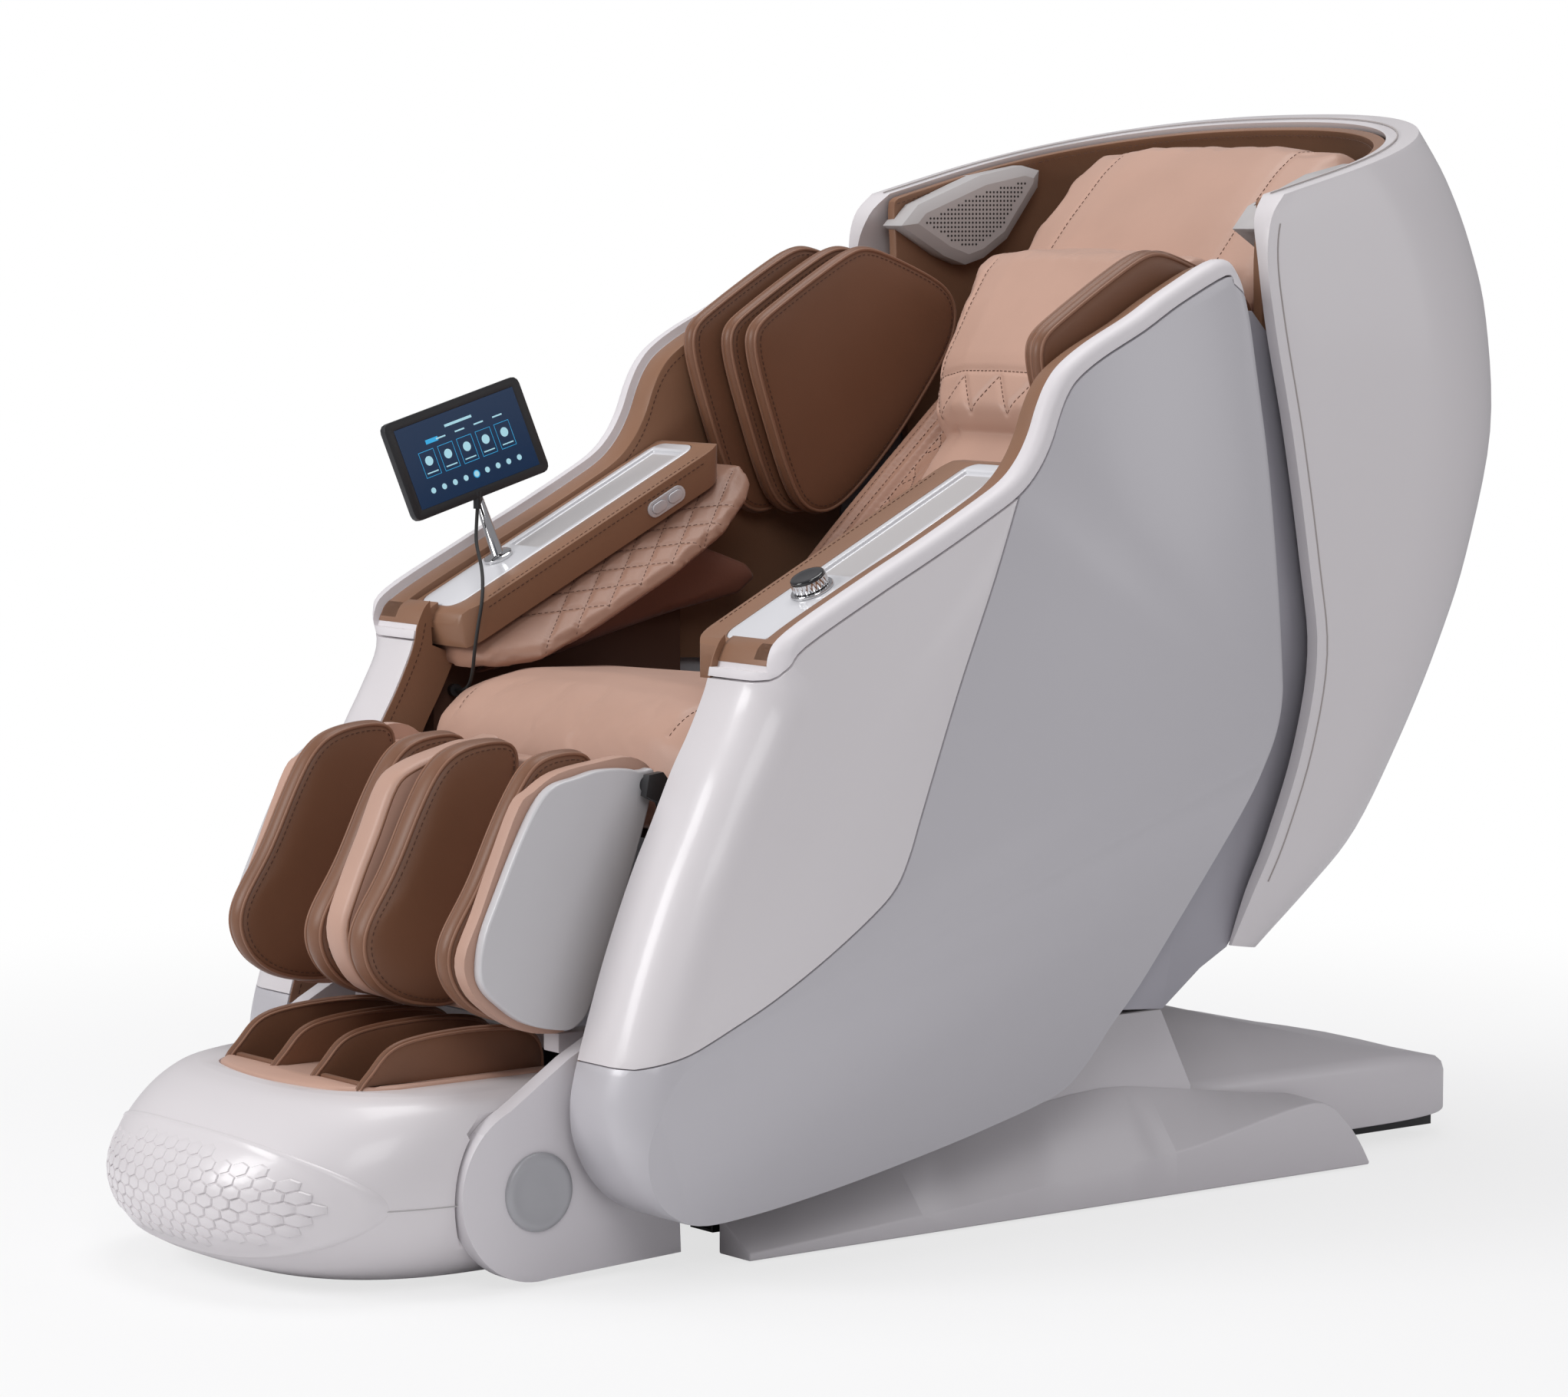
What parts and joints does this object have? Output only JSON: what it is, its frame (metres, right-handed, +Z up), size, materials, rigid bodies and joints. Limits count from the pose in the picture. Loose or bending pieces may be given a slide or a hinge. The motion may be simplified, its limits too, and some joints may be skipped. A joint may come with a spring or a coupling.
{
  "type": "massage chair",
  "caption": "Reclining massage chair with closed side wings, rear hood, sliding base, calf and foot massage unit, armrest controls and a small tablet on a stalk.",
  "frame": {"origin": "on the floor, under the middle of the chair's overall length and width as it stands upright", "axes": "+Z up, the sitter faces -Y, +X to the sitter's left"},
  "size_m": [0.776, 1.707, 1.206],
  "materials": {
    "black_steel": "satin black paint",
    "plain_steel": "ground",
    "black_plastic": "matte",
    "black_rubber": "matte",
    "warm_grey_plastic": "satin",
    "cream_plastic": "satin",
    "cream_leather": "smooth",
    "grey_plastic": "satin metallic",
    "silver_plastic": "satin metallic",
    "brown_leather": "fine grain",
    "dark_leather": "fine grain",
    "tan_leather": "fine grain",
    "quilted_leather": "quilted in diamonds",
    "wine_leather": "soft",
    "dark_panel": "matte",
    "white_plastic": "gloss",
    "pale_grey_plastic": "satin",
    "roller_cream": "satin",
    "screen_glass": "gloss",
    "chrome": "polished",
    "key_silver": "satin",
    "cord_black": "matte"
  },
  "bodies": {
    "base": {"base_frame": "black_steel", "leveling_feet": "black_rubber", "base_shroud": "warm_grey_plastic", "base_rear_cover": "warm_grey_plastic", "power_inlet": "black_plastic", "slide_drive": "black_plastic"},
    "transport_wheel_set": {"transport_wheels": "black_rubber"},
    "seat_body": {"slide_shoes": "black_steel", "carriage_plate": "black_steel", "seat_frame": "black_steel", "hinge_brackets": "black_steel", "air_pump": "black_plastic", "control_box": "black_plastic", "arm_rims": "cream_leather", "front_panels": "cream_plastic", "side_shells": "grey_plastic", "side_strips": "silver_plastic", "arm_linings": "brown_leather", "armrest_pads": "brown_leather", "armrest_trays": "white_plastic", "arm_frames": "dark_panel", "forearm_pads": "quilted_leather", "hip_flaps": "wine_leather", "shoulder_cushions": "dark_leather", "seat_cushion": "tan_leather", "knob_bezel": "black_plastic", "tablet_stalk": "chrome", "key_plate": "white_plastic", "cord_gland": "black_plastic", "tablet_cord": "cord_black"},
    "knob": {"control_knob": "chrome"},
    "up_key": {"key_up": "key_silver"},
    "down_key": {"key_down": "key_silver"},
    "tablet": {"tablet_case": "black_plastic", "tablet_screen": "screen_glass", "tablet_holder": "chrome", "tablet_plug": "black_plastic"},
    "backrest": {"hood_shell": "cream_plastic", "hood_lining": "brown_leather", "back_frame": "black_steel", "back_boards": "dark_panel", "back_pad": "quilted_leather", "head_pad": "tan_leather", "neck_pillow": "tan_leather", "speakers": "pale_grey_plastic"},
    "massage_carriage": {"roller_carriage": "black_steel"},
    "lower_rollers": {"massage_rollers_lower": "roller_cream"},
    "upper_rollers": {"massage_rollers_upper": "roller_cream"},
    "recline_motor_unit": {"recline_motor": "black_plastic"},
    "recline_rod_unit": {"recline_rod": "plain_steel"},
    "legrest": {"calf_shell": "tan_leather", "calf_side_plates": "grey_plastic", "calf_cushions": "dark_leather"},
    "foot_slide": {"foot_brackets": "warm_grey_plastic", "pivot_caps": "grey_plastic"},
    "foot_unit": {"foot_shell": "cream_plastic", "foot_surround": "tan_leather", "foot_wells": "dark_leather", "foot_front_panel": "cream_plastic"},
    "foot_roller_set": {"foot_rollers": "roller_cream"}
  },
  "joints": [
    {"name": "chair_slide", "type": "slide", "parent": "base", "child": "seat_body", "axis": [0, -1, 0], "range_m": [0, 0.12]},
    {"name": "transport_wheel_roll", "type": "hinge", "parent": "base", "child": "transport_wheel_set", "pos_m": [0, 0.7665, 0.03], "axis": [1, 0, 0], "continuous": true},
    {"name": "backrest_recline", "type": "hinge", "parent": "seat_body", "child": "backrest", "pos_m": [0, 0.1565, 0.42], "axis": [-1, 0, 0], "range_deg": [0, 20]},
    {"name": "recline_motor_pivot", "type": "hinge", "parent": "seat_body", "child": "recline_motor_unit", "pos_m": [0, 0.2165, 0.134], "axis": [-1, 0, 0], "range_deg": [0, 6]},
    {"name": "recline_rod_slide", "type": "slide", "parent": "recline_motor_unit", "child": "recline_rod_unit", "axis": [0, -0.0946, -0.9955], "range_m": [0, 0.04]},
    {"name": "roller_travel", "type": "slide", "parent": "backrest", "child": "massage_carriage", "axis": [0, 0.7314, 0.682], "range_m": [0, 0.3]},
    {"name": "lower_roller_spin", "type": "hinge", "parent": "massage_carriage", "child": "lower_rollers", "pos_m": [0, 0.19609, 0.58234], "axis": [1, 0, 0], "continuous": true},
    {"name": "upper_roller_spin", "type": "hinge", "parent": "massage_carriage", "child": "upper_rollers", "pos_m": [0, 0.27654, 0.65736], "axis": [1, 0, 0], "continuous": true},
    {"name": "legrest_lift", "type": "hinge", "parent": "seat_body", "child": "legrest", "pos_m": [0, -0.4035, 0.505], "axis": [-1, 0, 0], "range_deg": [0, 75]},
    {"name": "leg_extend", "type": "slide", "parent": "legrest", "child": "foot_slide", "axis": [0, -0.347, -0.9379], "range_m": [0, 0.1001]},
    {"name": "foot_tilt", "type": "hinge", "parent": "foot_slide", "child": "foot_unit", "pos_m": [0, -0.5565, 0.099], "axis": [-1, 0, 0], "range_deg": [0, 12]},
    {"name": "foot_roller_spin", "type": "hinge", "parent": "foot_unit", "child": "foot_roller_set", "pos_m": [0, -0.5935, 0.068], "axis": [1, 0, 0], "continuous": true},
    {"name": "tablet_swivel", "type": "hinge", "parent": "seat_body", "child": "tablet", "pos_m": [-0.342, -0.2235, 0.783], "axis": [0, 0, 1], "range_deg": [-35, 35]},
    {"name": "knob_turn", "type": "hinge", "parent": "seat_body", "child": "knob", "pos_m": [0.286, -0.2235, 0.70048], "axis": [0, -0.4501, 0.893], "continuous": true},
    {"name": "up_key_press", "type": "slide", "parent": "seat_body", "child": "up_key", "axis": [-1, 0, 0], "range_m": [0, 0.0014], "stiffness_N_per_m": 400, "springref_m": -0.001},
    {"name": "down_key_press", "type": "slide", "parent": "seat_body", "child": "down_key", "axis": [-1, 0, 0], "range_m": [0, 0.0014], "stiffness_N_per_m": 400, "springref_m": -0.001}
  ],
  "couplings": [
    {"joint": "leg_extend", "follows": "legrest_lift", "m_per_rad": 0.0764},
    {"joint": "recline_motor_pivot", "follows": "backrest_recline", "ratio": 0.28},
    {"joint": "recline_rod_slide", "follows": "backrest_recline", "m_per_rad": 0.1017}
  ]
}
